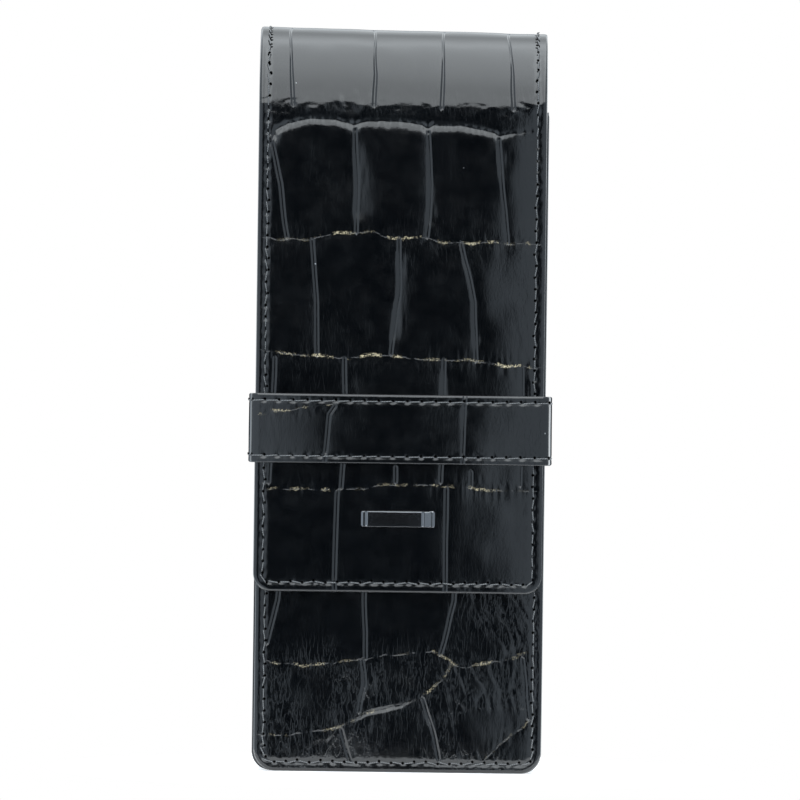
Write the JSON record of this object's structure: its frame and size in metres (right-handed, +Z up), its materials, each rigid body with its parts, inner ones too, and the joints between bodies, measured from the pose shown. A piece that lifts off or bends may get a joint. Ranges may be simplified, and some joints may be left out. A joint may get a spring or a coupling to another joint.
{
  "type": "pen case",
  "caption": "Leather pen case: a stiff pouch with divided slots, a long flap folded over its mouth, a sliding keeper band and a small blank metal plate.",
  "frame": {"origin": "middle of the bottom of the whole object's box, on the surface the case stands on", "axes": "+Z up along the case's length, -Y out of the front that the flap covers, +X to the right seen from the front"},
  "size_m": [0.0654, 0.0256, 0.1601],
  "materials": {
    "outer_leather": "glossy black embossed scales",
    "lining_leather": "smooth matt black lining leather",
    "gusset_leather": "fine-grained black leather",
    "divider_leather": "smooth matt black leather",
    "gusset_cloth": "black lining cloth",
    "board": "bonded leather board",
    "thread": "waxed black thread",
    "plate_metal": "polished dark nickel",
    "backer_metal": "plain"
  },
  "bodies": {
    "pouch": {"back_outer": "outer_leather", "back_board": "board", "back_lining": "lining_leather", "back_stitching": "thread", "front_outer": "outer_leather", "front_board": "board", "front_lining": "lining_leather", "front_stitching": "thread", "mouth_stitching": "thread", "side_gusset": "gusset_leather", "gusset_lining": "gusset_cloth", "divider_left": "divider_leather", "divider_right": "divider_leather"},
    "crown": {"crown_outer": "outer_leather", "crown_lining": "lining_leather", "crown_stitching": "thread"},
    "flap": {"flap_outer": "outer_leather", "flap_board": "board", "flap_lining": "lining_leather", "flap_stitching": "thread", "name_plate": "plate_metal", "plate_backer": "backer_metal"},
    "band": {"band_outer": "outer_leather", "band_lining": "lining_leather", "band_top_stitching": "thread", "band_bottom_stitching": "thread", "band_joint_stitching": "thread"}
  },
  "joints": [
    {"name": "flap_hinge", "type": "hinge", "parent": "pouch", "child": "crown", "pos_m": [0, 0.00954, 0.15854], "axis": [-1, 0, 0], "range_deg": [0, 110]},
    {"name": "flap_bend", "type": "hinge", "parent": "crown", "child": "flap", "pos_m": [0, -0.00553, 0.15523], "axis": [-1, 0, 0], "range_deg": [0, 90]},
    {"name": "band_slide", "type": "slide", "parent": "pouch", "child": "band", "axis": [0, 0, -1], "range_m": [-0.05, 0.06]}
  ]
}
